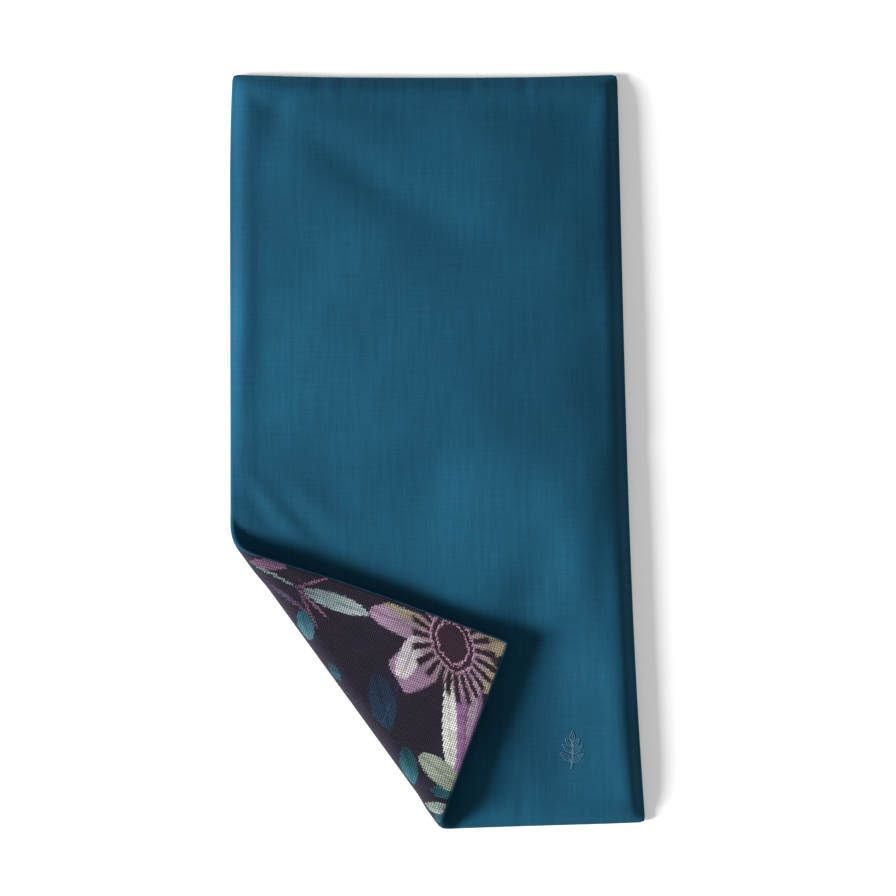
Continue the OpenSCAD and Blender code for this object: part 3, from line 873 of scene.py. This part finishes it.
def bag_edge(x, y):
    """Distance in from the bag's edge."""
    from_sides = [side - BAG_INSET for side in edge_distances(x, y)[2:]]
    return np.maximum(soft_least(from_sides + [in_from_fold(x, y) - BAG_CLEAR], 0.8), 0)


def bag_height(x, y, face, drop):
    """Height of the bag's cloth, or of what is drop millimetres inside it, on one face."""
    ceiling, ground = front_top(x, y) - 0.75, back_under(x, y) + 0.85
    seam_z = (ceiling + ground) / 2
    full = smooth((bag_edge(x, y) - 4) / 13)
    drop = drop * full * np.clip((ceiling - ground) / 3, 0.15, 1)
    if face > 0:
        return seam_z + 0.16 + (ceiling - seam_z - 0.16) * full - drop
    return seam_z - 0.16 - (seam_z - 0.16 - ground) * full + drop


def bag_outline_grid(pitch, inset=0.0):
    """A flat grid trimmed to the bag's outline, in millimetres."""
    bm = bmesh.new()
    bmesh.ops.create_grid(bm, x_segments=int(WIDTH / pitch), y_segments=int(LENGTH / pitch), size=1)
    inset = BAG_INSET + inset
    for v in bm.verts:
        u, w = (v.co.x + 1) / 2, (v.co.y + 1) / 2
        x = left_x(w) + inset + u * (right_x(w) - left_x(w) - 2 * inset)
        y = bottom_y(u) + inset + w * (top_y(u) - bottom_y(u) - 2 * inset)
        v.co = (x, y, 0)
    trim = fold_at + (BAG_CLEAR + inset - BAG_INSET) * inward
    bmesh.ops.bisect_plane(bm, geom=bm.verts[:] + bm.edges[:] + bm.faces[:], dist=0.02,
                           plane_co=(*trim, 0), plane_no=(*inward, 0), clear_inner=True)
    return bm


for face, name, node in ((1, "inner_bag_front_calico", "inner_bag_front"),
                         (-1, "inner_bag_back_calico", "inner_bag_back")):
    bm = bag_outline_grid(FILL_PITCH)
    place(bm, [(v.co.x, v.co.y, float(bag_height(v.co.x, v.co.y, face, 0))) for v in bm.verts])
    if face < 0:
        bmesh.ops.reverse_faces(bm, faces=bm.faces)
    bag = mesh_object(name, bm)
    wall = bag.modifiers.new("Thickness", "SOLIDIFY")
    wall.thickness = 0.3 * MM
    wall.offset = -1
    bag.data.materials.append(calico)
    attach(bag, "pillow")
    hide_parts(node)

# the fill: one heap, closed round its edge
bm = bag_outline_grid(FILL_PITCH, 5.0)
upper = bmesh.ops.extrude_face_region(bm, geom=bm.faces[:])["geom"]
top_verts = {v for v in upper if isinstance(v, bmesh.types.BMVert)}
rng = np.random.default_rng(7)
points = []
for v in bm.verts:
    x, y = v.co.x, v.co.y
    lump = 0.35 * rng.random()
    if v in top_verts:
        points.append((x, y, float(bag_height(x, y, 1, 0.75)) - lump * 0.6))
    else:
        points.append((x, y, float(bag_height(x, y, -1, 0.6)) + lump * 0.3))
place(bm, points)
bmesh.ops.recalc_face_normals(bm, faces=bm.faces)
heap = mesh_object("flaxseed_fill_heap", bm)
heap.data.materials.append(flax)
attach(heap, "pillow")
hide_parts("flaxseed_fill")

# lavender: dry ribbed buds about 5 mm long, mixed through the upper part of the heap
bm = bmesh.new()
for k in range(70):
    x, y = rng.uniform(-45, 42), rng.uniform(-95, 98)
    room = float(bag_height(x, y, 1, 1.6)) - 3.2
    if room < 0.5 or float(bag_edge(x, y)) < 12:
        continue
    deep = 3.2 + room * rng.random()
    turn = (Matrix.Translation((x, y, deep)) @ Matrix.Rotation(rng.uniform(0, tau), 4, "Z")
            @ Matrix.Rotation(radians(rng.uniform(70, 110)), 4, "X"))
    bud = bmesh.ops.create_uvsphere(bm, u_segments=12, v_segments=7, radius=1,
                                    matrix=turn @ Matrix.Diagonal((0.85, 0.85, 2.4, 1)))["verts"]
    # six ribs, and a narrower end where the calyx closes
    back_to = turn.inverted()
    for v in bud:
        p = back_to @ v.co
        p.xy *= 1 + 0.12 * cos(6 * np.arctan2(p.y, p.x)) - (0.25 if p.z > 1.2 else 0)
        v.co = turn @ p
for v in bm.verts:
    v.co *= MM
buds = mesh_object("lavender_buds_dry", bm)
buds.data.materials.append(lavender)
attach(buds, "pillow")
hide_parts("lavender_buds")

# the bag's seam, a plain line of stitches along its flat edge
runs = []
STITCH = 1.3
line = around_cover(BAG_INSET + BAG_SEAM, STITCH)
for a, b in zip(line[::2], line[1::2]):
    if min(in_from_fold(*a), in_from_fold(*b)) > BAG_CLEAR + BAG_SEAM:
        z = [float(bag_height(*p, 1, 0)) for p in (a, b)]
        runs.append([(*a, z[0] - 0.05), (*(a * 0.7 + b * 0.3), z[0] + 0.1),
                     (*(a * 0.3 + b * 0.7), z[1] + 0.1), (*b, z[1] - 0.05)])
line = fold_at + (BAG_CLEAR + BAG_SEAM) * inward
for t in np.arange(-130, 130, 2 * STITCH):
    a, b = line + t * along, line + (t + STITCH) * along
    if min(min(edge_distances(*p)[2:]) for p in (a, b)) > BAG_INSET + BAG_SEAM:
        z = [float(bag_height(*p, 1, 0)) for p in (a, b)]
        runs.append([(*a, z[0] - 0.05), (*((a + b) / 2), z[0] + 0.1), (*b, z[1] - 0.05)])
bag_seam = stitches("inner_bag_seam_stitches", runs, 0.11, bag_thread)
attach(bag_seam, "pillow")
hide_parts("inner_bag_seam_thread")

# ---------------------------------------------------------------- floor and light
bm = bmesh.new()
bmesh.ops.create_grid(bm, x_segments=1, y_segments=1, size=1.5)
floor = mesh_object("floor", bm)
# cast white acrylic with a satin face, lit a little from below, so that shadows on it stay pale
acrylic, _, _ = new_material("white_acrylic_light_table", Roughness=0.9, Specular_IOR_Level=0.2,
                             Base_Color=linear("#f4f4f3"), Emission_Color=linear("#ffffff"),
                             Emission_Strength=0.3)
floor.data.materials.append(acrylic)


def soft_light(name, place_at, size, watts, tint):
    """A square soft box aimed at the pillow."""
    data = bpy.data.lights.new(name, "AREA")
    data.size = size
    data.energy = watts
    data.color = linear(tint)[:3]
    lamp = bpy.data.objects.new(name, data)
    lamp.location = place_at
    lamp.rotation_euler = (Vector((0, 0, 0)) - Vector(place_at)).to_track_quat("-Z", "Y").to_euler()
    scene.collection.objects.link(lamp)


soft_light("key", (-2.31, -0.49, 1.10), 0.85, 129, "#ffffff")
world = bpy.data.worlds.new("studio")
world.use_nodes = True
world.node_tree.nodes["Background"].inputs["Color"].default_value = linear("#fbfbfb")
world.node_tree.nodes["Background"].inputs["Strength"].default_value = 0.26
scene.world = world
scene.view_settings.view_transform = "Standard"
